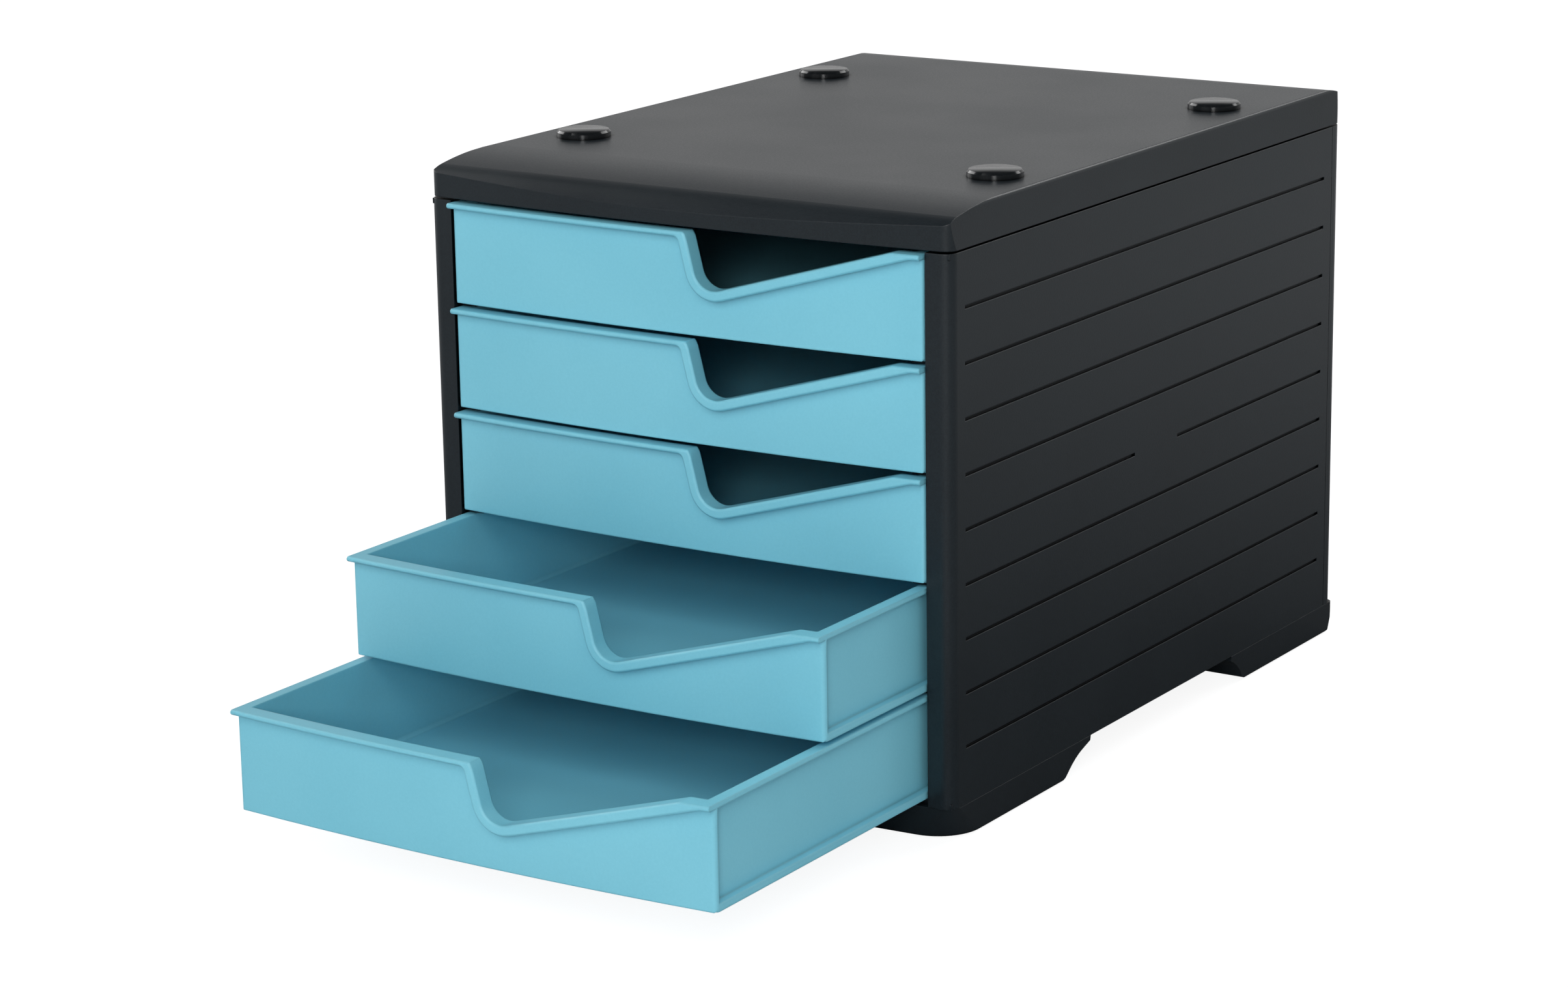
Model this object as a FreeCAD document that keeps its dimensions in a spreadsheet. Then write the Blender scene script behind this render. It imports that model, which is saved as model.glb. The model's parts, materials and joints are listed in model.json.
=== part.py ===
"""Desktop file box with five sliding drawers, in millimetres.

X runs to the right, Y to the back and Z up. The origin lies on the surface that the box stands on,
under the middle of the whole box with its lowest drawer standing open. Pieces are drawn in housing
coordinates, where Y = 0 is the front plane of the side panels, and each piece's Placement moves it
to the shared origin.
"""
import FreeCAD
import Part
import Sketcher

import math
import os

Vector = FreeCAD.Vector

DRIVING_SIZES = {
    # drawers and the levels they stand on
    "drawer_count": 5,
    "drawer_pitch": 47,
    "runner_thick": 1.6,
    "runner_gap": 0.3,
    "headroom": 0.4,
    "floor_rise": 3.3,
    "lid_gap": 0.7,
    # how far a cutting tool runs past the face it opens
    "overcut": 1,
    # housing
    "opening_half": 121,
    "panel_thick": 12,
    "panel_depth": 355,
    "skin": 2.4,
    "front_round": 5.5,
    "seam": 0.3,
    "lid_seam": 0.9,
    "back_depth": 11.7,
    "back_round": 8,
    "runner_reach": 9,
    "runner_start": 4,
    "runner_end": 350,
    "stile_return": 40,
    "rib_thick": 1.6,
    "rib_spacing": 95,
    "rib_count": 3,
    # outside grooves
    "groove_tall": 1.5,
    "groove_deep": 1,
    "groove_start": 11.5,
    "groove_end": 347,
    "broken_end": 159,
    "broken_start": 199,
    # bow of the fronts
    "bow_radius": 1600,
    "bow_forward": 4.5,
    # drawer moulding
    "side_gap": 0.7,
    "drawer_wall": 1.8,
    "front_wall": 2.2,
    "side_recess": 3.5,
    "rim_thick": 2.2,
    "rail_tall": 3.3,
    "floor_lift": 0.6,
    "floor_bevel": 1.5,
    "drawer_rear": 346,
    "lip_forward": 4,
    "lip_back": 4,
    "lip_thick": 2.2,
    "lip_bevel": 0.7,
    "corner_round": 2,
    "edge_bevel": 1,
    "cut_top_x": 6.2,
    "cut_low_x": 13.6,
    "cut_low_z": 15.5,
    "cut_end_x": 115.4,
    "cut_top_round": 5,
    "cut_low_round": 12,
    "cut_end_round": 9,
    # stops that keep a drawer from falling out
    "stop_front": 32,
    "stop_long": 6,
    "stop_reach": 3,
    "stop_margin": 4,
    "lug_front": 300,
    "lug_long": 6,
    "lug_reach": 3,
    # lid
    "lid_height": 17.5,
    "lid_lean": 2,
    "lid_edge": 1.5,
    "lid_wall": 2.4,
    "roll_start": 44,
    "roll_break_y": 8,
    "roll_large": 200,
    "roll_small": 21.5,
    "lid_rear_lean": 3.1,
    "lid_ease": 13,
    "lid_ease_drop": 1.8,
    "lid_rib": 1.6,
    "lid_rib_drop": 6,
    # lid buttons and the screws below them
    "button_inset": 26,
    "button_front": 81,
    "button_back": 282.5,
    "button_radius": 12.25,
    "button_side": 2.2,
    "button_bevel": 0.9,
    "stem_radius": 5,
    "stem_fit": 0.2,
    "socket_wall": 1.8,
    "shelf_thick": 2,
    "shelf_above": 6,
    "ear_thick": 2.7,
    "ear_lift": 0.3,
    "ear_half": 12,
    "ear_reach": 9,
    "boss_half": 4,
    # screws
    "head_radius": 3.2,
    "head_tall": 2.2,
    "shank_radius": 1.45,
    "shank_fit": 0.1,
    "lid_screw_long": 9,
    "base_screw_long": 18,
    "screw_inset": 6.5,
    "screw_front": 30,
    "screw_back": 320,
    "screw_sink": 8,
    "sink_radius": 3.7,
    "pillar_half": 4.2,
    "pillar_tall": 24,
    # base with two foot bars
    "base_height": 15,
    "base_draw_in": 1.5,
    "base_front_lean": 5,
    "base_rear_lean": 2.7,
    "base_corner": 20,
    "bar_round": 5,
    "cove_round": 28,
    "cove_rise": 8.2,
    "cove_share": 0.4,
    "base_rear_round": 4,
    "front_bar_end": 99,
    "front_bar_top": 119.8,
    "rear_bar_top": 256.7,
    "rear_bar_start": 271.5,
    "bar_wall": 2.6,
    "cell_count": 4,
    "cell_half": 92,
    "plate_thick": 2,
    # rubber pads
    "pad_inset": 26,
    "pad_front": 36,
    "pad_back": 326,
    "pad_radius": 9,
    "pad_deep": 1.2,
    "foot_proud": 1,
    "pad_fit": 0.2,
    # how far the two lowest drawers stand open
    "open_4": 78,
    "open_5": 157.5,
}

document = FreeCAD.newDocument("file_box")
sheet = document.addObject("Spreadsheet::Sheet", "sizes")
for row, (alias, value) in enumerate(DRIVING_SIZES.items(), start=1):
    sheet.set(f"A{row}", alias)
    sheet.set(f"B{row}", str(value))
    sheet.setAlias(f"B{row}", alias)
document.recompute()


def size(expression):
    """Value of an expression in the sheet's sizes."""
    result = sheet.evalExpression(expression)
    return float(getattr(result, "Value", result))


# places that several pieces share, each worked out from the driving sizes
outer_half = "(sizes.opening_half + sizes.panel_thick)"
base_top = "(sizes.foot_proud + sizes.base_height)"
drawer_height = "(sizes.drawer_pitch - sizes.runner_thick - sizes.runner_gap - sizes.headroom)"
lowest_drawer = f"({base_top} + sizes.floor_rise + sizes.runner_gap)"
highest_drawer = f"({lowest_drawer} + (sizes.drawer_count - 1) * sizes.drawer_pitch)"
panel_top = f"({highest_drawer} + {drawer_height} + sizes.lid_gap)"
panel_height = f"({panel_top} - {base_top})"
housing_depth = "(sizes.panel_depth + sizes.back_depth)"
front_reach = "(sizes.open_5 + sizes.bow_forward + sizes.lip_forward)"
origin_y = f"(({housing_depth} - {front_reach}) / 2)"
bow_centre = "(sizes.bow_radius - sizes.bow_forward)"
drawer_half = "(sizes.opening_half - sizes.side_gap)"
tray_half = f"({drawer_half} - sizes.side_recess)"
skin_inside = f"({outer_half} - sizes.skin)"
lid_top = f"({panel_top} + sizes.lid_height)"
ear_top = f"({panel_top} + sizes.ear_lift + sizes.ear_thick)"
shelf_top = f"({ear_top} + sizes.shelf_above + sizes.shelf_thick)"
screw_x = f"({outer_half} - sizes.screw_inset)"
screw_seat = "(sizes.foot_proud + sizes.screw_sink)"
button_x = f"({outer_half} - sizes.button_inset)"
pad_x = f"({outer_half} - sizes.pad_inset)"
SIDES = {"right": "", "left": "-"}
ENDS = ("front", "back")

# two points nearer than this are one point
TOUCH = 0.01

PLANES = {
    "XY_Plane": FreeCAD.Rotation(),
    "XZ_Plane": FreeCAD.Rotation(Vector(1, 0, 0), 90),
    "YZ_Plane": FreeCAD.Rotation(Vector(1, 1, 1), 120),
}


def new_sketch(name, plane, owner=None, offset="0"):
    """Sketch on a body's origin plane, or a free one in the same position, moved along its normal."""
    if owner is None:
        sketch = document.addObject("Sketcher::SketchObject", name)
        sketch.Placement = FreeCAD.Placement(Vector(), PLANES[plane])
        normal = PLANES[plane].multVec(Vector(0, 0, 1))
        for axis in "xyz":
            sign = round(getattr(normal, axis))
            if sign:
                sketch.setExpression(f"Placement.Base.{axis}", f"({offset}) * {sign}")
        return sketch
    sketch = owner.newObject("Sketcher::SketchObject", name)
    origin_plane = next(item for item in owner.Origin.OriginFeatures if item.Role == plane)
    sketch.AttachmentSupport = [(origin_plane, "")]
    sketch.MapMode = "FlatFace"
    sketch.setExpression("AttachmentOffset.Base.z", offset)
    return sketch


def fix_point(sketch, geometry, point, x, y):
    """Hold a point of a sketch at two expressions measured from its origin."""
    for kind, expression in (("DistanceX", x), ("DistanceY", y)):
        index = sketch.addConstraint(Sketcher.Constraint(kind, -1, 1, geometry, point, size(expression)))
        sketch.setExpression(f"Constraints[{index}]", expression)


def set_radius(sketch, geometry, expression):
    """Bind the radius of an arc or circle."""
    index = sketch.addConstraint(Sketcher.Constraint("Radius", geometry, size(expression)))
    sketch.setExpression(f"Constraints[{index}]", expression)


def near_end(sketch, geometry, place):
    """Number of the end that lies at a place: 1 for the start of a run, 2 for its end."""
    return min((1, 2), key=lambda end: (sketch.getPoint(geometry, end) - place).Length)


def draw_outline(sketch, corners, closed=True):
    """Run of lines through corners (x, y) or (x, y, radius), where a radius rounds the corner."""
    places = [Vector(size(corner[0]), size(corner[1]), 0) for corner in corners]
    count = len(corners)
    starts = list(places)
    ends = list(places)
    arcs = {}
    for index, corner in enumerate(corners):
        if len(corner) < 3:
            continue
        before = (places[index - 1] - places[index]).normalize()
        after = (places[(index + 1) % count] - places[index]).normalize()
        half_angle = before.getAngle(after) / 2
        radius = size(corner[2])
        back_off = radius / math.tan(half_angle)
        ends[index] = places[index] + before * back_off
        starts[index] = places[index] + after * back_off
        middle = (before + after).normalize()
        arcs[index] = places[index] + middle * (radius / math.sin(half_angle) - radius)
    runs = {}
    for index in range(count if closed else count - 1):
        following = (index + 1) % count
        runs[index] = sketch.addGeometry(Part.LineSegment(starts[index], ends[following]))
    for index, corner in enumerate(corners):
        last_run = runs.get((index - 1) % count)
        next_run = runs.get(index)
        if index not in arcs:
            if last_run is not None and next_run is not None:
                sketch.addConstraint(Sketcher.Constraint("Coincident", last_run, 2, next_run, 1))
            if next_run is not None:
                fix_point(sketch, next_run, 1, corner[0], corner[1])
            else:
                fix_point(sketch, last_run, 2, corner[0], corner[1])
            continue
        arc = sketch.addGeometry(Part.Arc(ends[index], arcs[index], starts[index]))
        tip = sketch.addGeometry(Part.Point(places[index]), True)
        fix_point(sketch, tip, 1, corner[0], corner[1])
        for run, end, place in ((last_run, 2, ends[index]), (next_run, 1, starts[index])):
            meeting = near_end(sketch, arc, place)
            sketch.addConstraint(Sketcher.Constraint("Tangent", run, end, arc, meeting))
            sketch.addConstraint(Sketcher.Constraint("PointOnObject", tip, 1, run))
        set_radius(sketch, arc, corner[2])


def draw_circle(sketch, x, y, radius):
    """Circle with its centre and radius bound."""
    circle = sketch.addGeometry(Part.Circle(Vector(size(x), size(y), 0), Vector(0, 0, 1), size(radius)))
    fix_point(sketch, circle, 3, x, y)
    set_radius(sketch, circle, radius)


def draw_bow(sketch, half, ahead, corner, back):
    """Plan with the bowed front: corner radius at each end of the bow, straight sides and back.

    ahead is how far the front stands before the common bow, measured square to it."""
    radius = f"(sizes.bow_radius + {ahead})"
    bend = size(corner)
    reach = size(radius) - bend
    centre = Vector(0, size(bow_centre), 0)
    side = size(half)
    corner_centre = Vector(side - bend, centre.y - math.sqrt(reach ** 2 - (side - bend) ** 2), 0)
    outward = (corner_centre - centre).normalize()
    meeting = centre + outward * size(radius)
    flank = Vector(side, corner_centre.y, 0)
    shoulder = corner_centre + (outward + Vector(1, 0, 0)).normalize() * bend
    rear = Vector(side, size(back), 0)
    mirror = [Vector(-place.x, place.y, 0) for place in (meeting, flank, shoulder, rear)]
    front = centre + Vector(0, -size(radius), 0)
    bow = sketch.addGeometry(Part.Arc(mirror[0], front, meeting))
    right_corner = sketch.addGeometry(Part.Arc(meeting, shoulder, flank))
    right_side = sketch.addGeometry(Part.LineSegment(flank, rear))
    rear_line = sketch.addGeometry(Part.LineSegment(rear, mirror[3]))
    left_side = sketch.addGeometry(Part.LineSegment(mirror[3], mirror[1]))
    left_corner = sketch.addGeometry(Part.Arc(mirror[1], mirror[2], mirror[0]))
    for first, second, place in ((bow, right_corner, meeting), (bow, left_corner, mirror[0])):
        ends = (near_end(sketch, first, place), near_end(sketch, second, place))
        sketch.addConstraint(Sketcher.Constraint("Tangent", first, ends[0], second, ends[1]))
    end = near_end(sketch, right_corner, flank)
    sketch.addConstraint(Sketcher.Constraint("Tangent", right_side, 1, right_corner, end))
    end = near_end(sketch, left_corner, mirror[1])
    sketch.addConstraint(Sketcher.Constraint("Tangent", left_side, 2, left_corner, end))
    sketch.addConstraint(Sketcher.Constraint("Coincident", right_side, 2, rear_line, 1))
    sketch.addConstraint(Sketcher.Constraint("Coincident", rear_line, 2, left_side, 1))
    fix_point(sketch, bow, 3, "0", bow_centre)
    set_radius(sketch, bow, radius)
    set_radius(sketch, right_corner, corner)
    set_radius(sketch, left_corner, corner)
    fix_point(sketch, rear_line, 1, half, back)
    fix_point(sketch, rear_line, 2, f"-{half}", back)
    sketch.addConstraint(Sketcher.Constraint("Vertical", right_side))
    sketch.addConstraint(Sketcher.Constraint("Vertical", left_side))


def extrude(name, sketch, direction, length):
    """Solid drawn out of a closed sketch."""
    solid = document.addObject("Part::Extrusion", name)
    solid.Base = sketch
    solid.DirMode = "Custom"
    solid.Dir = direction
    solid.setExpression("LengthFwd", length)
    solid.Solid = True
    return solid


def profile_solid(name, plane, corners, offset, length):
    """Outline drawn out along the positive axis that its plane faces."""
    toward = {"XY_Plane": Vector(0, 0, 1), "XZ_Plane": Vector(0, 1, 0), "YZ_Plane": Vector(1, 0, 0)}[plane]
    start = f"-({offset})" if plane == "XZ_Plane" else offset
    sketch = new_sketch(f"{name}_outline", plane, offset=start)
    draw_outline(sketch, corners)
    return extrude(name, sketch, toward, length)


def box(name, low, high):
    """Block between two corners given as expressions."""
    solid = document.addObject("Part::Box", name)
    for axis, side, first, second in zip("xyz", ("Length", "Width", "Height"), low, high):
        solid.setExpression(f"Placement.Base.{axis}", first)
        solid.setExpression(side, f"({second}) - ({first})")
    return solid


def cylinder(name, x, y, low, high, radius):
    """Upright cylinder."""
    solid = document.addObject("Part::Cylinder", name)
    solid.setExpression("Radius", radius)
    solid.setExpression("Height", f"({high}) - ({low})")
    for axis, expression in zip("xyz", (x, y, low)):
        solid.setExpression(f"Placement.Base.{axis}", expression)
    return solid


def join(name, solids):
    """One solid fused from several."""
    fused = document.addObject("Part::MultiFuse", name)
    fused.Shapes = solids
    fused.Refine = True
    return fused


def overlap(name, solids):
    """What several solids have in common."""
    common = document.addObject("Part::MultiCommon", name)
    common.Shapes = solids
    return common


def remove(name, solid, tools):
    """Solid less one or several tools."""
    cut = document.addObject("Part::Cut", name)
    cut.Base = solid
    cut.Tool = tools[0] if len(tools) == 1 else join(f"{name}_tools", tools)
    return cut


def pad(body, name, plane, offset, length, corners=None, circle=None, reversed_pad=False):
    """Pad of an outline or circle on a plane of the body."""
    sketch = new_sketch(f"{name}_outline", plane, body, offset)
    if circle:
        draw_circle(sketch, *circle)
    else:
        draw_outline(sketch, corners)
    feature = body.newObject("PartDesign::Pad", name)
    feature.Profile = sketch
    feature.Reversed = reversed_pad
    feature.setExpression("Length", length)
    return feature


def pocket(body, name, plane, offset, length, corners=None, circle=None, reversed_pocket=False):
    """Pocket of an outline or circle on a plane of the body."""
    sketch = new_sketch(f"{name}_outline", plane, body, offset)
    if circle:
        draw_circle(sketch, *circle)
    else:
        draw_outline(sketch, corners)
    feature = body.newObject("PartDesign::Pocket", name)
    feature.Profile = sketch
    feature.Reversed = reversed_pocket
    feature.setExpression("Length", length)
    return feature


def repeat(body, name, feature, axis, spacing, count):
    """Linear pattern of one feature along an axis of the body."""
    pattern = body.newObject("PartDesign::LinearPattern", name)
    pattern.Originals = [feature]
    origin_axis = next(item for item in body.Origin.OriginFeatures if item.Role == axis)
    pattern.Direction = (origin_axis, [""])
    pattern.Mode = "Spacing"
    pattern.setExpression("Offset", spacing)
    pattern.setExpression("Occurrences", count)
    body.Tip = pattern
    return pattern


def rectangle(low_x, high_x, low_y, high_y):
    """Corners of a rectangle."""
    return [(low_x, low_y), (high_x, low_y), (high_x, high_y), (low_x, high_y)]


pieces = {}


def finish(node, item, x="0", y=f"-{origin_y}", z="0"):
    """Name a finished piece and place it in the shared frame."""
    item.Label = node
    for axis, expression in zip("xyz", (x, y, z)):
        item.setExpression(f"Placement.Base.{axis}", expression)
    pieces[node] = item


def side_panel():
    """Right side panel: skin with a rounded front corner, a stile that returns inwards, runners,
    stiffening ribs, the stops for the drawers and nine grooves outside."""
    body = document.addObject("PartDesign::Body", "side_panel_right_body")
    opening = "sizes.opening_half"
    stile_inside = "(sizes.opening_half + sizes.skin)"
    pad(body, "skin", "XY_Plane", base_top, panel_height, [
        (opening, "0"),
        (outer_half, "0", "sizes.front_round"),
        (outer_half, "sizes.panel_depth"),
        (skin_inside, "sizes.panel_depth"),
        (skin_inside, "sizes.skin", "sizes.front_round - sizes.skin"),
        (stile_inside, "sizes.skin"),
        (stile_inside, "sizes.stile_return"),
        (opening, "sizes.stile_return"),
    ])
    flange = rectangle(opening, f"{skin_inside} + sizes.skin / 2", "sizes.skin / 2", "sizes.runner_end")
    pad(body, "bottom_flange", "XY_Plane", base_top, "sizes.skin", flange)
    pad(body, "top_flange", "XY_Plane", f"{panel_top} - sizes.skin", "sizes.skin", flange)
    rib_y = "(sizes.stile_return + sizes.rib_spacing / 2)"
    rib = rectangle(
        f"{opening} + sizes.seam",
        f"{skin_inside} + sizes.skin / 2",
        rib_y,
        f"{rib_y} + sizes.rib_thick",
    )
    upright = pad(body, "upright_rib", "XY_Plane", base_top, panel_height, rib)
    repeat(body, "upright_ribs", upright, "Y_Axis", "sizes.rib_spacing", "sizes.rib_count")
    runner = rectangle(
        f"{opening} - sizes.runner_reach",
        f"{skin_inside} + sizes.skin / 2",
        "sizes.runner_start",
        "sizes.runner_end",
    )
    runner_z = f"({lowest_drawer} + sizes.drawer_pitch - sizes.runner_gap - sizes.runner_thick)"
    lowest_runner = pad(body, "runner", "XY_Plane", runner_z, "sizes.runner_thick", runner)
    repeat(body, "runners", lowest_runner, "Z_Axis", "sizes.drawer_pitch", "sizes.drawer_count - 1")
    stop = rectangle(
        f"{opening} - sizes.stop_reach",
        f"{opening} + sizes.skin / 2",
        "sizes.stop_front",
        "sizes.stop_front + sizes.stop_long",
    )
    stop_z = f"({lowest_drawer} + sizes.rail_tall + sizes.stop_margin)"
    stop_tall = f"({drawer_height} - sizes.rail_tall - sizes.rim_thick - 2 * sizes.stop_margin)"
    lowest_stop = pad(body, "stop", "XY_Plane", stop_z, stop_tall, stop)
    repeat(body, "stops", lowest_stop, "Z_Axis", "sizes.drawer_pitch", "sizes.drawer_count")
    for place in ENDS:
        y = f"sizes.screw_{place}"
        pillar = rectangle(f"{screw_x} - sizes.pillar_half", f"{skin_inside} + sizes.skin / 2",
                           f"{y} - sizes.pillar_half", f"{y} + sizes.pillar_half")
        pad(body, f"pillar_{place}", "XY_Plane", base_top, "sizes.pillar_tall", pillar)
    for place in ENDS:
        y = f"sizes.button_{place}"
        ear_end = f"({button_x} - sizes.ear_reach)"
        pad(body, f"ear_{place}", "XZ_Plane", f"-({y} - sizes.ear_half)", "2 * sizes.ear_half", [
            (ear_end, f"{panel_top} + sizes.ear_lift"),
            (f"{opening} + sizes.seam", f"{panel_top} + sizes.ear_lift"),
            (f"{opening} + sizes.seam", f"{panel_top} - sizes.skin / 2"),
            (f"{skin_inside} - sizes.skin", f"{panel_top} - sizes.skin / 2"),
            (f"{skin_inside} - sizes.skin", ear_top),
            (ear_end, ear_top),
        ], reversed_pad=True)
        boss = rectangle(f"{button_x} - sizes.boss_half", f"{button_x} + sizes.boss_half",
                         f"{y} - sizes.boss_half", f"{y} + sizes.boss_half")
        pad(body, f"ear_boss_{place}", "XY_Plane", ear_top, "sizes.shelf_above", boss)
    document.recompute()
    hole = "(sizes.shank_radius + sizes.shank_fit)"
    for place in ENDS:
        pocket(body, f"pillar_hole_{place}", "XY_Plane", base_top, "sizes.base_screw_long",
               circle=(screw_x, f"sizes.screw_{place}", hole), reversed_pocket=True)
        pocket(body, f"ear_hole_{place}", "XY_Plane", shelf_top, "2 * sizes.lid_screw_long",
               circle=(button_x, f"sizes.button_{place}", hole))
    groove_spacing = "(sizes.drawer_pitch / 2)"
    for name, lowest in (("upper", "sizes.drawer_count - 1"), ("lower", "2 * sizes.drawer_count - 1")):
        groove_z = f"({panel_top} - ({lowest}) * {groove_spacing})"
        groove = pocket(body, f"{name}_groove", "YZ_Plane", outer_half, "sizes.groove_deep",
                        groove_slot("sizes.groove_start", "sizes.groove_end", groove_z))
        repeat(body, f"{name}_grooves", groove, "Z_Axis", groove_spacing, "sizes.drawer_count - 1")
    middle_z = f"({panel_top} - sizes.drawer_count * {groove_spacing})"
    for name, start, end in (("front", "sizes.groove_start", "sizes.broken_end"),
                             ("rear", "sizes.broken_start", "sizes.groove_end")):
        pocket(body, f"middle_groove_{name}", "YZ_Plane", outer_half, "sizes.groove_deep",
               groove_slot(start, end, middle_z))
    finish("side_panel_right", body)
    left = document.addObject("Part::Mirroring", "side_panel_left_mirror")
    left.Source = body
    left.Normal = Vector(1, 0, 0)
    left.Label = "side_panel_left"
    pieces["side_panel_left"] = left


def groove_slot(start, end, z):
    """Long narrow slot round a height."""
    return rectangle(start, end, f"{z} - sizes.groove_tall / 2", f"{z} + sizes.groove_tall / 2")


def rear_cover():
    """Back of the housing: a panel that wraps round the rear corners, with a tongue on each side."""
    body = document.addObject("PartDesign::Body", "rear_cover_body")
    front = "(sizes.panel_depth + sizes.seam)"
    inside = f"({housing_depth} - sizes.skin)"
    bend = "sizes.back_round"
    inner_bend = "sizes.back_round - sizes.skin"
    pad(body, "shell", "XY_Plane", base_top, panel_height, [
        (outer_half, front),
        (outer_half, housing_depth, bend),
        (f"-{outer_half}", housing_depth, bend),
        (f"-{outer_half}", front),
        (f"-{skin_inside}", front),
        (f"-{skin_inside}", inside, inner_bend),
        (skin_inside, inside, inner_bend),
        (skin_inside, front),
    ])
    tongue_outside = f"({skin_inside} - sizes.seam)"
    for side, sign in SIDES.items():
        inner_edge = f"{sign}({tongue_outside} - sizes.skin)"
        low = f"{base_top} + 2 * sizes.skin"
        tall = f"{panel_height} - 4 * sizes.skin"
        root = rectangle(
            inner_edge,
            f"{sign}({skin_inside} + sizes.skin / 2)",
            front,
            f"{front} + sizes.skin",
        )
        pad(body, f"tongue_root_{side}", "XY_Plane", low, tall, root)
        tongue = rectangle(inner_edge, f"{sign}{tongue_outside}", "sizes.runner_end + 2 * sizes.seam", front)
        pad(body, f"tongue_{side}", "XY_Plane", low, tall, tongue)
    stiffener_spacing = f"({panel_height} / (sizes.rib_count + 1))"
    shelf = rectangle(f"-{skin_inside}", skin_inside, f"{front} + sizes.skin", f"{inside} + sizes.skin / 2")
    lowest = f"({base_top} + {stiffener_spacing})"
    stiffener = pad(body, "stiffener", "XY_Plane", lowest, "sizes.rib_thick", shelf)
    repeat(body, "stiffeners", stiffener, "Z_Axis", stiffener_spacing, "sizes.rib_count")
    finish("rear_cover", body)


def lid_form(name, inset):
    """Outside of the lid, or its hollow when it is drawn in by the wall: the side profile with the
    front roll, cut by the bowed plan and by the leaning sides."""
    low = f"({panel_top} + sizes.lid_seam)" if inset == "0" else f"({panel_top} - sizes.overcut)"
    high = f"({lid_top} - {inset})"
    nose = f"({housing_depth} - {inset})"
    profile = new_sketch(f"{name}_profile", "YZ_Plane", offset=f"-{outer_half}")
    draw_roll(profile, low, high, inset, nose)
    side = extrude(f"{name}_side", profile, Vector(1, 0, 0), f"2 * {outer_half}")
    plan = new_sketch(f"{name}_plan", "XY_Plane", offset=low)
    draw_bow(plan, f"({outer_half} - {inset})", f"-{inset}", f"(sizes.front_round - {inset} / 2)", nose)
    column = extrude(f"{name}_column", plan, Vector(0, 0, 1), f"{lid_top} - {low}")
    corners = rear_corners(name, inset, f"(sizes.back_round - {inset})", low, f"{lid_top} - {low}")
    half = f"({outer_half} - {inset})"
    narrow = f"({half} - sizes.lid_lean)"
    edge = "sizes.lid_edge"
    front = profile_solid(f"{name}_front", "XZ_Plane", [
        (f"-{half}", low),
        (half, low),
        (narrow, high, edge),
        (f"-{narrow}", high, edge),
    ], "-2 * sizes.bow_forward", f"{housing_depth} + 4 * sizes.bow_forward")
    return overlap(name, [side, column, corners, front])


def rear_corners(name, inset, bend, low, tall):
    """Column whose plan rounds the two rear corners of the housing."""
    half = f"({outer_half} - {inset})"
    rear = f"({housing_depth} - {inset})"
    return profile_solid(f"{name}_rear_corners", "XY_Plane", [
        (f"-{half}", "-2 * sizes.bow_forward"),
        (half, "-2 * sizes.bow_forward"),
        (half, rear, bend),
        (f"-{half}", rear, bend),
    ], low, tall)


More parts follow.
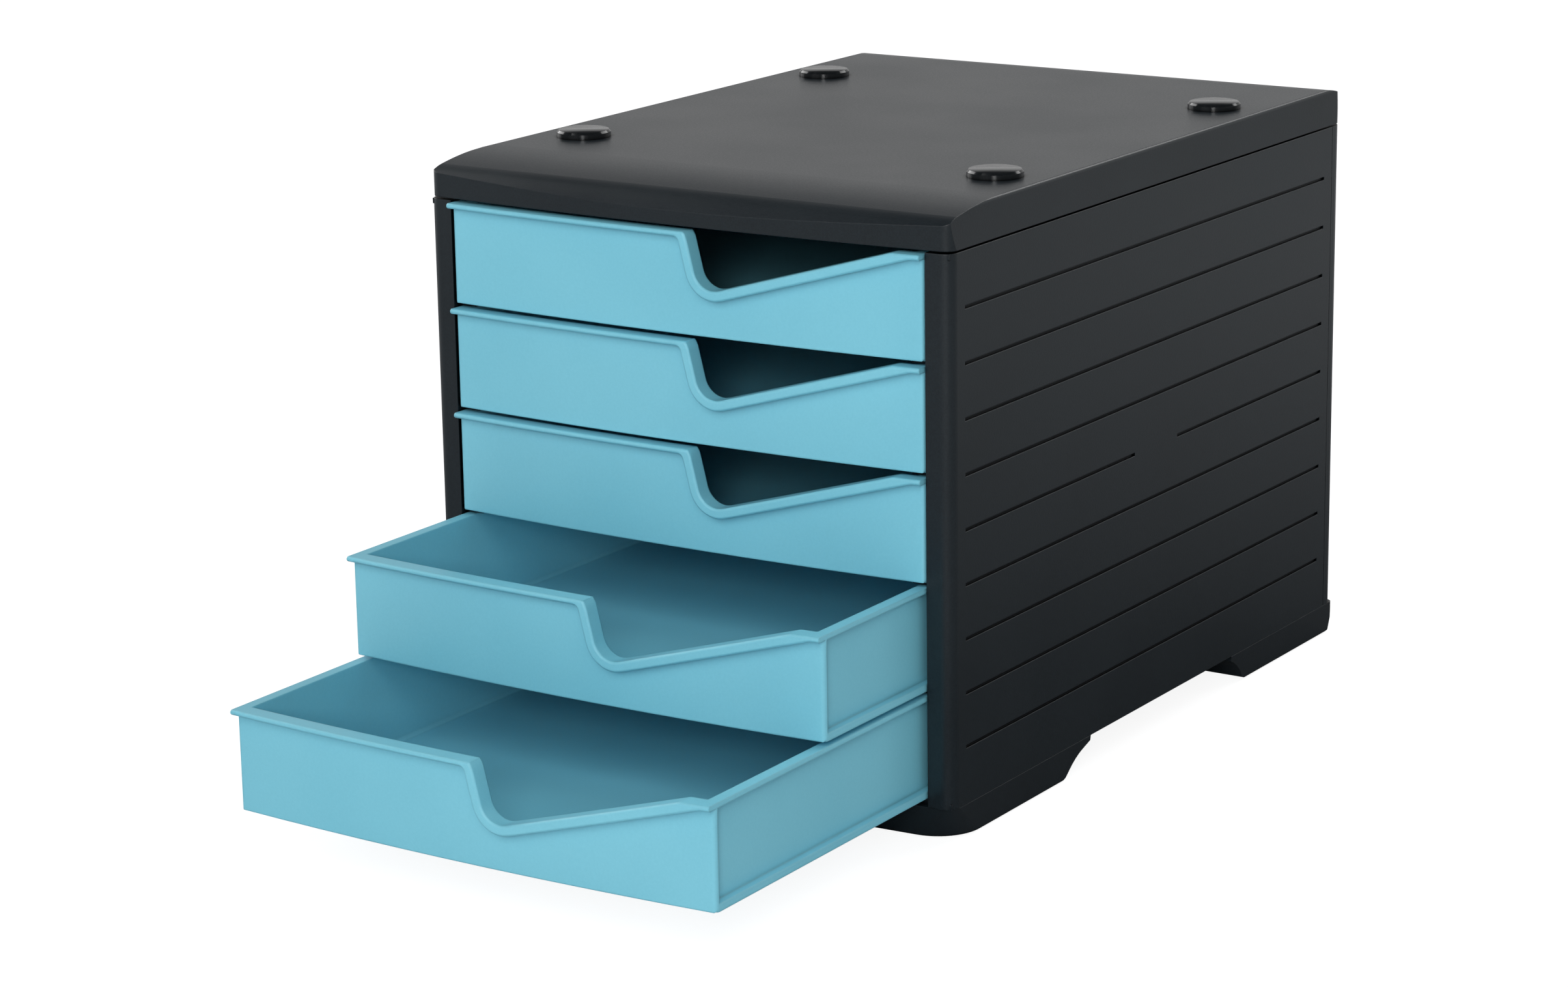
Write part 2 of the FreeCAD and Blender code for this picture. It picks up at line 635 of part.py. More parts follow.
def draw_roll(sketch, low, high, inset, nose):
    """Side profile of the lid: flat top, two tangent arcs that roll down at the front, an eased rear edge
    and a rear face that leans in."""
    front = f"({inset} - sizes.bow_forward - sizes.overcut)"
    # two circles make the roll: a large one that leaves the flat top, and a small one at the nose
    flat_y = size("sizes.roll_start")
    top = size(high)
    large = size(f"sizes.roll_large - {inset}")
    small = size(f"sizes.roll_small - {inset}")
    large_centre = Vector(flat_y, top - large, 0)
    break_x = (f"sizes.roll_start - (sizes.roll_start - sizes.roll_break_y)"
               f" * (sizes.roll_large - {inset}) / sizes.roll_large")
    angle = math.asin((flat_y - size("sizes.roll_break_y")) / size("sizes.roll_large"))
    toward = Vector(-math.sin(angle), math.cos(angle), 0)
    change = large_centre + toward * large
    small_centre = change - toward * small
    front_y = size(front)
    drop = math.sqrt(max(small ** 2 - (small_centre.x - front_y) ** 2, 0))
    tip = Vector(front_y, small_centre.y + drop, 0)
    flat = Vector(flat_y, top, 0)
    ease = Vector(size(f"{nose} - sizes.lid_rear_lean - sizes.lid_ease"), top, 0)
    crest = Vector(size(f"{nose} - sizes.lid_rear_lean"), size(f"{high} - sizes.lid_ease_drop"), 0)
    heel = Vector(size(nose), size(low), 0)
    toe = Vector(front_y, size(low), 0)
    middle_large = large_centre + (toward + Vector(0, 1, 0)).normalize() * large
    reach = (tip - small_centre).normalize()
    middle_small = small_centre + (toward + reach).normalize() * small
    fall = ease - crest
    ease_radius = fall.Length ** 2 / (2 * fall.y)
    half_turn = math.asin(-fall.x / ease_radius) / 2
    slope = ease + Vector(math.sin(half_turn), math.cos(half_turn) - 1, 0) * ease_radius
    shapes = [
        Part.LineSegment(toe, tip),
        Part.Arc(tip, middle_small, change),
        Part.Arc(change, middle_large, flat),
        Part.LineSegment(flat, ease),
        Part.Arc(ease, slope, crest),
        Part.LineSegment(crest, heel),
        Part.LineSegment(heel, toe),
    ]
    places = [tip, change, flat, ease, crest, heel, toe]
    runs = [sketch.addGeometry(shape) for shape in shapes]
    for index, place in enumerate(places):
        first = runs[index]
        second = runs[(index + 1) % len(runs)]
        kind = "Tangent" if index in (1, 2, 3) else "Coincident"
        ends = (near_end(sketch, first, place), near_end(sketch, second, place))
        sketch.addConstraint(Sketcher.Constraint(kind, first, ends[0], second, ends[1]))
    fix_point(sketch, runs[3], 1, "sizes.roll_start", high)
    fix_point(sketch, runs[3], 2, f"{nose} - sizes.lid_rear_lean - sizes.lid_ease", high)
    fix_point(sketch, runs[5], 1, f"{nose} - sizes.lid_rear_lean", f"{high} - sizes.lid_ease_drop")
    fix_point(sketch, runs[6], 1, nose, low)
    fix_point(sketch, runs[0], 1, front, low)
    set_radius(sketch, runs[1], f"sizes.roll_small - {inset}")
    set_radius(sketch, runs[2], f"sizes.roll_large - {inset}")
    meeting = near_end(sketch, runs[2], change)
    index = sketch.addConstraint(Sketcher.Constraint("DistanceX", -1, 1, runs[2], meeting, change.x))
    sketch.setExpression(f"Constraints[{index}]", break_x)
    sketch.addConstraint(Sketcher.Constraint("Vertical", runs[0]))


def lid():
    """Lid shell with sockets for the screws and buttons, and a grid of ribs inside."""
    outside = lid_form("lid_outside", "0")
    hollow = lid_form("lid_hollow", "sizes.lid_wall")
    shell = remove("lid_shell", outside, [hollow])
    parts = []
    rib_high = f"({lid_top} - sizes.lid_wall / 2)"
    shelf = f"({shelf_top} - sizes.shelf_thick)"
    socket = "(sizes.stem_radius + sizes.stem_fit + sizes.socket_wall)"
    for across, sign in SIDES.items():
        for place in ENDS:
            x = f"{sign}{button_x}"
            y = f"sizes.button_{place}"
            parts.append(box(f"socket_block_{across}_{place}", (f"{x} - {socket}", f"{y} - {socket}", shelf),
                             (f"{x} + {socket}", f"{y} + {socket}", rib_high)))
    rib_low = f"({lid_top} - sizes.lid_rib_drop)"
    half = "sizes.lid_rib / 2"
    reach = f"({skin_inside} - 2 * sizes.lid_wall)"
    for place in ENDS:
        y = f"sizes.button_{place}"
        parts.append(box(f"cross_rib_{place}", (f"-{reach}", f"{y} - {half}", rib_low),
                         (reach, f"{y} + {half}", rib_high)))
    for across, x in (("right", button_x), ("middle", "0"), ("left", f"-{button_x}")):
        parts.append(box(f"long_rib_{across}", (f"{x} - {half}", "sizes.roll_start", rib_low),
                         (f"{x} + {half}", "sizes.runner_end", rib_high)))
    whole = join("lid_with_ribs", [shell] + parts)
    holes = []
    for across, sign in SIDES.items():
        for place in ENDS:
            centre = (f"{sign}{button_x}", f"sizes.button_{place}")
            holes.append(cylinder(f"passage_{across}_{place}", *centre, f"{shelf} - sizes.overcut",
                                  f"{shelf_top} + sizes.overcut", "sizes.shank_radius + 2 * sizes.shank_fit"))
            holes.append(cylinder(f"socket_{across}_{place}", *centre, shelf_top,
                                  f"{lid_top} + sizes.overcut", "sizes.stem_radius + sizes.stem_fit"))
    finish("lid", remove("lid_piece", whole, holes))


def revolved(name, corners):
    """Body turned about the Z axis from half of its section."""
    body = document.addObject("PartDesign::Body", f"{name}_body")
    sketch = new_sketch(f"{name}_section", "XZ_Plane", body)
    draw_outline(sketch, corners)
    turn = body.newObject("PartDesign::Revolution", f"{name}_turned")
    turn.Profile = sketch
    turn.ReferenceAxis = (sketch, ["V_Axis"])
    turn.Angle = 360
    return body


def lid_buttons():
    """Four glossy buttons that close the screw sockets: a disc with a bevelled rim, on a stem."""
    stem_end = f"-({lid_top} - {shelf_top} - sizes.head_tall - sizes.seam)"
    for across, sign in SIDES.items():
        for place in ENDS:
            node = f"lid_button_{place}_{across}"
            body = revolved(node, [
                ("0", stem_end),
                ("sizes.stem_radius", stem_end),
                ("sizes.stem_radius", "0"),
                ("sizes.button_radius", "0"),
                ("sizes.button_radius", "sizes.button_side"),
                ("sizes.button_radius - sizes.button_bevel", "sizes.button_side + sizes.button_bevel"),
                ("0", "sizes.button_side + sizes.button_bevel"),
            ])
            finish(node, body, f"{sign}{button_x}", f"sizes.button_{place} - {origin_y}", lid_top)


def screws(node, x, place, head_low, shank_low, length):
    """Four equal screws, each a head and a shank, as one group."""
    members = []
    for across, sign in SIDES.items():
        for end in ENDS:
            centre = (f"{sign}{x}", f"sizes.{place}_{end}")
            head = cylinder(f"{node}_head_{across}_{end}", *centre, head_low, f"{head_low} + sizes.head_tall",
                            "sizes.head_radius")
            shank = cylinder(f"{node}_shank_{across}_{end}", *centre, shank_low, f"{shank_low} + {length}",
                             "sizes.shank_radius")
            members.append(join(f"{node}_screw_{across}_{end}", [head, shank]))
    group = document.addObject("Part::Compound", f"{node}_group")
    group.Links = members
    finish(node, group)


def base_form(name):
    """Outside of the base: lofted from a plan with large corners at the bottom to the housing's plan."""
    bottom = new_sketch(f"{name}_bottom", "XY_Plane", offset="sizes.foot_proud")
    draw_bow(bottom, f"({outer_half} - sizes.base_draw_in)", "-sizes.base_front_lean", "sizes.base_corner",
             f"({housing_depth} - sizes.base_rear_lean)")
    top = new_sketch(f"{name}_top", "XY_Plane", offset=base_top)
    draw_bow(top, outer_half, "0", "sizes.front_round", housing_depth)
    loft = document.addObject("Part::Loft", name)
    loft.Sections = [bottom, top]
    loft.Solid = True
    loft.Ruled = True
    return loft


def foot_bar_side(name, outer, near_edge, bottom_edge, top_edge):
    """Foot bar from its side outline: a rounded foot and a hollowed end towards the middle."""
    low = "sizes.foot_proud"
    shoulder = f"({base_top} - sizes.skin)"
    return profile_solid(name, "YZ_Plane", [
        (outer, base_top),
        (near_edge, low, "sizes.bar_round"),
        (bottom_edge, low, "sizes.bar_round"),
        (f"{bottom_edge} + ({top_edge} - {bottom_edge}) * sizes.cove_share", f"{low} + sizes.cove_rise",
         "sizes.cove_round"),
        (top_edge, shoulder),
        (top_edge, base_top),
    ], f"-{outer_half}", f"2 * {outer_half}")


def base():
    """Base moulding: a front and a rear foot bar, hollow below, and the floor plate between them."""
    low = "sizes.foot_proud"
    front = foot_bar_side("front_bar_side", "-2 * sizes.bow_forward", "-sizes.bow_forward",
                          "sizes.front_bar_end", "sizes.front_bar_top")
    rear = foot_bar_side("rear_bar_side", f"{housing_depth} + sizes.overcut", housing_depth,
                         "sizes.rear_bar_start", "sizes.rear_bar_top")
    corners = rear_corners("base", "0", "sizes.base_rear_round", low, "sizes.base_height")
    bars = overlap("foot_bars", [base_form("base_form"), join("bar_sides", [front, rear]), corners])
    plate_half = "(sizes.opening_half - sizes.seam)"
    plate_top = f"({base_top} + sizes.floor_rise)"
    rib_top = f"{plate_top} - sizes.plate_thick / 2"
    plate = box("floor_plate", (f"-{plate_half}", "sizes.runner_start", f"{plate_top} - sizes.plate_thick"),
                (plate_half, "sizes.runner_end", plate_top))
    webs = []
    rib_run = f"({plate_half} - sizes.rib_thick / 2)"
    for index in range(int(size("sizes.cell_count")) + 1):
        x = f"({rib_run} * (2 * {index} / sizes.cell_count - 1))"
        webs.append(box(f"plate_rib_{index}", (f"{x} - sizes.rib_thick / 2", "sizes.runner_start", base_top),
                        (f"{x} + sizes.rib_thick / 2", "sizes.runner_end", rib_top)))
    for name, y in (("front", "sizes.runner_start"), ("rear", "(sizes.runner_end - sizes.rib_thick)")):
        webs.append(box(f"plate_end_{name}", (f"-{plate_half}", y, base_top),
                        (plate_half, f"{y} + sizes.rib_thick", rib_top)))
    whole = join("base_solid", [bars, plate] + webs)
    cuts = []
    margin = "(2 * sizes.bar_wall)"
    for name, start, end in (
        ("front", f"(sizes.base_front_lean + {margin})", f"(sizes.front_bar_end - {margin})"),
        ("rear", f"(sizes.rear_bar_start + {margin})", f"(sizes.panel_depth - {margin})"),
    ):
        for index in range(int(size("sizes.cell_count"))):
            left = f"(sizes.cell_half * (2 * {index} / sizes.cell_count - 1) + sizes.bar_wall / 2)"
            right = f"(sizes.cell_half * (2 * ({index} + 1) / sizes.cell_count - 1) - sizes.bar_wall / 2)"
            cuts.append(box(f"{name}_cell_{index}", (left, start, f"{low} - sizes.overcut"),
                            (right, end, f"{base_top} - sizes.bar_wall")))
    for across, sign in SIDES.items():
        for place in ENDS:
            screw = (f"{sign}{screw_x}", f"sizes.screw_{place}")
            foot = (f"{sign}{pad_x}", f"sizes.pad_{place}")
            cuts.append(cylinder(f"sink_{across}_{place}", *screw, f"{low} - sizes.overcut", screw_seat,
                                 "sizes.sink_radius"))
            cuts.append(cylinder(f"bore_{across}_{place}", *screw, f"{screw_seat} - sizes.overcut",
                                 f"{base_top} + sizes.overcut", "sizes.shank_radius + sizes.shank_fit"))
            cuts.append(cylinder(f"pad_seat_{across}_{place}", *foot, f"{low} - sizes.overcut",
                                 f"{low} + sizes.pad_deep", "sizes.pad_radius + sizes.pad_fit"))
    finish("base", remove("base_piece", whole, cuts))


def foot_pads():
    """Four soft round pads let into the underside of the foot bars."""
    for across, sign in SIDES.items():
        for place in ENDS:
            node = f"foot_pad_{place}_{across}"
            disc = cylinder(f"{node}_disc", "0", "0", "0", "sizes.foot_proud + sizes.pad_deep",
                            "sizes.pad_radius")
            finish(node, disc, f"{sign}{pad_x}", f"sizes.pad_{place} - {origin_y}")


def bow_slab(name, half, ahead, behind, tall):
    """Upright slab between two arcs of the common bow."""
    sketch = new_sketch(f"{name}_plan", "XY_Plane")
    side = size(half)
    centre = Vector(0, size(bow_centre), 0)
    arcs = []
    for distance in (ahead, behind):
        radius = size(f"sizes.bow_radius + {distance}")
        depth = centre.y - math.sqrt(radius ** 2 - side ** 2)
        ends = (Vector(-side, depth, 0), Vector(side, depth, 0))
        arcs.append(sketch.addGeometry(Part.Arc(ends[0], Vector(0, centre.y - radius, 0), ends[1])))
    left = sketch.addGeometry(Part.LineSegment(*(near_point(sketch, arc, -side) for arc in arcs)))
    right = sketch.addGeometry(Part.LineSegment(*(near_point(sketch, arc, side) for arc in arcs)))
    for line, x in ((left, f"-{half}"), (right, half)):
        for end, arc in ((1, arcs[0]), (2, arcs[1])):
            place = near_point(sketch, arc, size(x))
            meeting = near_end(sketch, arc, place)
            sketch.addConstraint(Sketcher.Constraint("Coincident", line, end, arc, meeting))
            index = sketch.addConstraint(Sketcher.Constraint("DistanceX", -1, 1, line, end, size(x)))
            sketch.setExpression(f"Constraints[{index}]", x)
    for arc, distance in zip(arcs, (ahead, behind)):
        fix_point(sketch, arc, 3, "0", bow_centre)
        set_radius(sketch, arc, f"sizes.bow_radius + {distance}")
    return extrude(name, sketch, Vector(0, 0, 1), tall)


def near_point(sketch, arc, x):
    """End of an arc that lies nearest to an X."""
    return min((sketch.getPoint(arc, end) for end in (1, 2)), key=lambda place: abs(place.x - x))


def bevelled_nose(solid, nose_radius, bevel):
    """Body made from a solid, with the long edges of its foremost bowed face bevelled."""
    document.recompute()
    body = document.addObject("PartDesign::Body", f"{solid.Name}_body")
    body.BaseFeature = solid
    document.recompute()
    start = body.Group[0]
    centre = Vector(0, size(bow_centre), 0)
    radius = size(nose_radius)
    edges = []
    for number, edge in enumerate(start.Shape.Edges, start=1):
        ends = (edge.Vertexes[0].Point, edge.Vertexes[-1].Point)
        on_nose = all(abs(Vector(end.x, end.y, 0).distanceToPoint(centre) - radius) < TOUCH for end in ends)
        if on_nose and abs(ends[0].x - ends[1].x) > TOUCH:
            edges.append(f"Edge{number}")
    chamfer = body.newObject("PartDesign::Chamfer", f"{solid.Name}_bevel")
    chamfer.Base = (start, edges)
    chamfer.setExpression("Size", bevel)
    body.Tip = chamfer
    return body


def drawer_moulding():
    """The drawer moulding: bowed front with a finger cut-out, the lip that follows its top edge,
    a tray with rim and running rails, and the lugs that meet the stops."""
    name = "tray"
    top = drawer_height
    cut = [
        ("sizes.cut_top_x", top, "sizes.cut_top_round"),
        ("sizes.cut_low_x", "sizes.cut_low_z", "sizes.cut_low_round"),
        ("sizes.cut_end_x", top, "sizes.cut_end_round"),
    ]
    reach = "2 * sizes.bow_forward + sizes.lip_forward"
    depth = f"({reach}) * 2"
    face = profile_solid(f"{name}_face", "XZ_Plane", [
        (f"-{drawer_half}", "sizes.edge_bevel"),
        (f"-({drawer_half} - sizes.edge_bevel)", "0"),
        (f"({drawer_half} - sizes.edge_bevel)", "0"),
        (drawer_half, "sizes.edge_bevel"),
        (drawer_half, top),
    ] + cut[::-1] + [(f"-{drawer_half}", top)], f"-({reach})", depth)
    front_plan = new_sketch(f"{name}_front_plan", "XY_Plane")
    draw_bow(front_plan, drawer_half, "0", "sizes.corner_round", "sizes.drawer_rear")
    front = overlap(f"{name}_front", [
        face,
        bow_slab(f"{name}_front_slab", drawer_half, "0", "-sizes.front_wall", top),
        extrude(f"{name}_front_column", front_plan, Vector(0, 0, 1), top),
    ])
    path = new_sketch(f"{name}_lip_path", "XZ_Plane", offset=f"{reach}")
    draw_outline(path, [(f"-{drawer_half}", top)] + cut + [(drawer_half, top)], closed=False)
    band = document.addObject("Part::Offset2D", f"{name}_lip_band")
    band.Source = path
    band.setExpression("Value", "-sizes.lip_thick")
    band.Join = "Intersection"
    band.Fill = True
    strip = extrude(f"{name}_lip_strip", band, Vector(0, 1, 0), depth)
    lip_slab = bow_slab(f"{name}_lip_slab", drawer_half, "sizes.lip_forward", "-sizes.lip_back", top)
    lip = bevelled_nose(overlap(f"{name}_lip", [strip, lip_slab]), "(sizes.bow_radius + sizes.lip_forward)",
                        "sizes.lip_bevel")
    wall = "sizes.drawer_wall"
    inner = f"({tray_half} - {wall})"
    rim_low = f"({top} - sizes.rim_thick)"
    section_right = [
        (f"{tray_half}", "0"),
        (drawer_half, "0"),
        (drawer_half, "sizes.rail_tall"),
        (tray_half, "sizes.rail_tall"),
        (tray_half, rim_low),
        (drawer_half, rim_low),
        (drawer_half, top),
        (inner, top),
        (inner, f"sizes.floor_lift + {wall} + sizes.floor_bevel"),
        (f"({inner} - sizes.floor_bevel)", f"sizes.floor_lift + {wall}"),
    ]
    section_left = [(f"-({corner[0]})",) + tuple(corner[1:]) for corner in section_right[::-1]]
    foot = [(f"-{inner}", "0"), (f"-{inner}", "sizes.floor_lift"), (inner, "sizes.floor_lift"), (inner, "0")]
    length = f"(sizes.drawer_rear + 2 * sizes.bow_forward)"
    trough = profile_solid(f"{name}_trough", "XZ_Plane", foot + section_right + section_left,
                           "-2 * sizes.bow_forward", length)
    tray_plan = new_sketch(f"{name}_tray_plan", "XY_Plane")
    draw_bow(tray_plan, drawer_half, "-sizes.front_wall / 2", "sizes.front_wall / 2", "sizes.drawer_rear")
    tray = overlap(f"{name}_tray", [trough, extrude(f"{name}_tray_column", tray_plan, Vector(0, 0, 1), top)])
    rear = box(f"{name}_rear", (f"-{tray_half}", f"sizes.drawer_rear - {wall}", "sizes.floor_lift"),
               (tray_half, "sizes.drawer_rear", top))
    lugs = []
    for side, low, high in (("right", f"{tray_half} - {wall} / 2", f"{tray_half} + sizes.lug_reach"),
                            ("left", f"-{tray_half} - sizes.lug_reach", f"-{tray_half} + {wall} / 2")):
        lugs.append(box(f"{name}_lug_{side}", (low, "sizes.lug_front", "sizes.rail_tall / 2"),
                        (high, "sizes.lug_front + sizes.lug_long", f"{top} - sizes.rim_thick / 2")))
    return join("drawer_moulding", [front, lip, tray, rear] + lugs)


def drawers():
    """Equal drawers, each on its own runners; the two lowest stand open."""
    moulding = drawer_moulding()
    count = int(size("sizes.drawer_count"))
    for level in range(1, count + 1):
        item = document.addObject("Part::Compound", f"drawer_{level}_copy")
        item.Links = [moulding]
        pulled = {count - 1: "sizes.open_4", count: "sizes.open_5"}.get(level, "0")
        finish(f"drawer_{level}", item, "0", f"-{origin_y} - {pulled}",
               f"{lowest_drawer} + (sizes.drawer_count - {level}) * sizes.drawer_pitch")


side_panel()
rear_cover()
lid()
lid_buttons()
screws("lid_screws", button_x, "button", shelf_top,
       f"({shelf_top} - sizes.lid_screw_long)", "sizes.lid_screw_long")
base()
screws("base_screws", screw_x, "screw", f"({screw_seat} - sizes.head_tall)",
       screw_seat, "sizes.base_screw_long")
foot_pads()
drawers()

document.recompute()
for item in document.Objects:
    if "Invalid" in item.State or "Error" in item.State:
        raise RuntimeError(f"{item.Name} failed: {item.State}")
os.makedirs("parts", exist_ok=True)
for node, item in pieces.items():
    if item.Shape.isNull() or not item.Shape.isValid():
        raise RuntimeError(f"{node} has no valid shape")
    item.Shape.exportStep(f"parts/{node}.step")
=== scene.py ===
import json
import math
import bmesh
import bpy
from mathutils import Matrix, Vector


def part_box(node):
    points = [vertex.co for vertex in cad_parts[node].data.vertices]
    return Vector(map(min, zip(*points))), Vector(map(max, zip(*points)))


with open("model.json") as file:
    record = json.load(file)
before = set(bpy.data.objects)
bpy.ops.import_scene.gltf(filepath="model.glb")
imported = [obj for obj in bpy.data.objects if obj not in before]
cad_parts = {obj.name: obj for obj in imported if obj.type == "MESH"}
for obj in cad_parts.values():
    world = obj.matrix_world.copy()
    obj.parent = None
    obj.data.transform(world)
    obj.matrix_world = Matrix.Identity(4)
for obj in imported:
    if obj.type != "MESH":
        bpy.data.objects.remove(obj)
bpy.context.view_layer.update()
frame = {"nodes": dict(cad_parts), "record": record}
mm = 0.001
print("frame loaded:", len(frame["nodes"]), "nodes")


def toLinear(hexColour):
    # sRGB hex to linear RGBA
    parts = [int(hexColour[i:i + 2], 16) / 255 for i in (1, 3, 5)]
    return [c / 12.92 if c <= 0.04045 else ((c + 0.055) / 1.055) ** 2.4 for c in parts] + [1.0]


def addNode(tree, kind, inputs=None, links=None, **settings):
    # inputs holds values by socket, links holds pairs of an output socket and one of this node's inputs
    node = tree.nodes.new(kind)
    for name, value in settings.items():
        setattr(node, name, value)
    for name, value in (inputs or {}).items():
        node.inputs[name].default_value = value
    for output, name in links or []:
        tree.links.new(output, node.inputs[name])
    return node


def newMaterial(name):
    # an empty material with its nodes, its output and the place on the piece in metres
    material = bpy.data.materials.new(name)
    material.use_nodes = True
    tree = material.node_tree
    tree.nodes.clear()
    output = addNode(tree, "ShaderNodeOutputMaterial")
    place = addNode(tree, "ShaderNodeTexCoord").outputs["Object"]
    return material, tree, output, place


def crownedNormal(tree, place, node, crown):
    # lets a flat round piece shine as if its top were slightly crowned
    low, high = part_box(node)
    middle = [(a + b) / 2 for a, b in zip(low, high)]
    radius = (high[0] - low[0]) / 2
    out = addNode(tree, "ShaderNodeVectorMath", {1: middle}, [(place, 0)], operation="SUBTRACT")
    level = addNode(tree, "ShaderNodeVectorMath", {1: (1, 1, 0)}, [(out.outputs[0], 0)],
                    operation="MULTIPLY")
    lean = addNode(tree, "ShaderNodeVectorMath", {"Scale": crown / radius}, [(level.outputs[0], 0)],
                   operation="SCALE")
    straight = addNode(tree, "ShaderNodeNewGeometry").outputs["Normal"]
    total = addNode(tree, "ShaderNodeVectorMath", None, [(straight, 0), (lean.outputs[0], 1)],
                    operation="ADD")
    return addNode(tree, "ShaderNodeVectorMath", None, [(total.outputs[0], 0)],
                   operation="NORMALIZE").outputs[0]


# what all plastics and the rubber share
moulding = {
    "noiseLow": 0.35,  # most of a noise lies between these two
    "noiseHigh": 0.65,
    "noiseDetail": 2.0,
    "grainBreakUp": 0.65,
    "grooveOpenness": 0.45,  # openness from 0 to 1 of a groove's bottom, where the painted shade is fullest, and of a free face, where it ends
    "faceOpenness": 0.95,
    "specular": 0.5,
    "samples": 6,
}


def spread(tree, noise):
    # a noise stretched to run from 0 to 1
    return addNode(tree, "ShaderNodeMapRange",
                   {"From Min": moulding["noiseLow"], "From Max": moulding["noiseHigh"]},
                   [(noise, "Value")]).outputs[0]


def mouldedPlastic(name, look, crownedNode=None):
    # grain as bump and a faint speckle, slow clouds of tone and gloss, softened edges or a crowned top,
    # and painted shade in grooves and seams
    material, tree, output, place = newMaterial(name)
    grain = addNode(tree, "ShaderNodeTexNoise",
                    {"Scale": 1 / (look["grainMm"] * mm), "Detail": moulding["noiseDetail"],
                     "Roughness": moulding["grainBreakUp"]}, [(place, "Vector")]).outputs["Fac"]
    cloud = addNode(tree, "ShaderNodeTexNoise",
                    {"Scale": 1 / (look["cloudMm"] * mm), "Detail": moulding["noiseDetail"]},
                    [(place, "Vector")]).outputs["Fac"]
    speck = addNode(tree, "ShaderNodeMath", {1: look["speckShare"]}, [(spread(tree, grain), 0)],
                    operation="MULTIPLY")
    drift = addNode(tree, "ShaderNodeMath", {1: 1 - look["speckShare"]}, [(spread(tree, cloud), 0)],
                    operation="MULTIPLY")
    share = addNode(tree, "ShaderNodeMath", None, [(speck.outputs[0], 0), (drift.outputs[0], 1)])
    tone = addNode(tree, "ShaderNodeValToRGB", None, [(share.outputs[0], "Fac")])
    tone.color_ramp.elements[0].color = toLinear(look["dark"])
    tone.color_ramp.elements[1].color = toLinear(look["light"])
    gloss = addNode(tree, "ShaderNodeMapRange",
                    {"To Min": look["roughness"] - look["roughnessDrift"],
                     "To Max": look["roughness"] + look["roughnessDrift"]},
                    [(share.outputs[0], "Value")])
    if crownedNode:
        normal = crownedNormal(tree, place, crownedNode, look["crown"])
    else:
        normal = addNode(tree, "ShaderNodeBevel", {"Radius": look["edgeMm"] * mm},
                         samples=moulding["samples"]).outputs["Normal"]
    bump = addNode(tree, "ShaderNodeBump", {"Strength": 1.0, "Distance": look["grainDepthMm"] * mm},
                   [(grain, "Height"), (normal, "Normal")])
    # painted shade: grooves and seams are darkened in colour and in shine by how little open room is
    # around them
    openness = addNode(tree, "ShaderNodeAmbientOcclusion", {"Distance": look["creviceMm"] * mm},
                       samples=moulding["samples"])
    paintedShade = addNode(tree, "ShaderNodeMapRange",
                    {"From Min": moulding["grooveOpenness"], "From Max": moulding["faceOpenness"],
                     "To Min": 1 - look["paintedCreviceShade"]}, [(openness.outputs["AO"], "Value")])
    colour = addNode(tree, "ShaderNodeVectorMath", None,
                     [(tone.outputs["Color"], 0), (paintedShade.outputs[0], "Scale")], operation="SCALE")
    shine = addNode(tree, "ShaderNodeMath", {1: moulding["specular"]}, [(paintedShade.outputs[0], 0)],
                    operation="MULTIPLY")
    shader = addNode(tree, "ShaderNodeBsdfPrincipled", {"IOR": look["ior"]},
                     [(colour.outputs[0], "Base Color"), (gloss.outputs[0], "Roughness"),
                      (shine.outputs[0], "Specular IOR Level"), (bump.outputs["Normal"], "Normal")])
    tree.links.new(shader.outputs["BSDF"], output.inputs["Surface"])
    return material


# Housing: polystyrene moulded against a spark-eroded tool. The fine grain scatters the light,
# so it looks blue-black and soft, and only grazing light greys it.
housingLook = {
    "dark": "#131a1f",
    "light": "#1b2328",
    "speckShare": 0.7,  # the grain's part in the tone, beside the slow clouds
    "roughness": 0.34,
    "roughnessDrift": 0.04,
    "ior": 1.46,
    "grainMm": 0.8,  # a real grain of about 0.2 mm wouldn't show, so it is drawn coarser
    "grainDepthMm": 0.03,
    "cloudMm": 70,
    "edgeMm": 0.5,  # radius of the softened edges
    "creviceMm": 2.2,  # width of gap that gets painted shade, and how strong that painted shade is
    "paintedCreviceShade": 0.92,
}

# Drawers: the same plastic in turquoise from a finer, satin tool, so the lips catch soft bright lines.
drawerLook = {
    "dark": "#78c4d8",
    "light": "#80cbde",
    "speckShare": 0.35,
    "roughness": 0.4,
    "roughnessDrift": 0.03,
    "ior": 1.5,
    "grainMm": 1.1,  # coarser than the real satin grain, which wouldn't show
    "grainDepthMm": 0.008,
    "cloudMm": 90,
    "edgeMm": 1.1,
    "creviceMm": 2.0,
    "paintedCreviceShade": 0.25,
}

# Lid buttons: polystyrene in the housing's black from a polished tool, so they mirror the room.
buttonLook = {
    "dark": "#121517",
    "light": "#171a1d",
    "crown": 0.34,  # slope of the crown at the rim
    "speckShare": 0.5,
    "roughness": 0.14,
    "roughnessDrift": 0.03,
    "ior": 1.49,
    "grainMm": 2.5,  # the waviness that a polished face keeps
    "grainDepthMm": 0.002,
    "cloudMm": 30,
    "creviceMm": 1.5,
    "paintedCreviceShade": 0.8,
}

# Foot pads: soft moulded rubber, matt and slightly dusty.
rubberLook = {
    "dark": "#141414",
    "light": "#232323",
    "speckShare": 0.6,
    "roughness": 0.8,
    "roughnessDrift": 0.08,
    "ior": 1.5,
    "grainMm": 0.9,  # coarser than the real pores, which wouldn't show
    "grainDepthMm": 0.04,
    "cloudMm": 12,
    "edgeMm": 0.3,
    "creviceMm": 1.5,
    "paintedCreviceShade": 0.6,
}

# Screws: zinc-plated steel, cold headed and rolled, so it is bright with fine marks.
screwLook = {
    "dark": "#8d9196",
    "light": "#b9bcc0",
    "markMm": 0.6,  # coarser than the real marks, which wouldn't show
    "markDetail": 3.0,
    "roughness": 0.32,
}


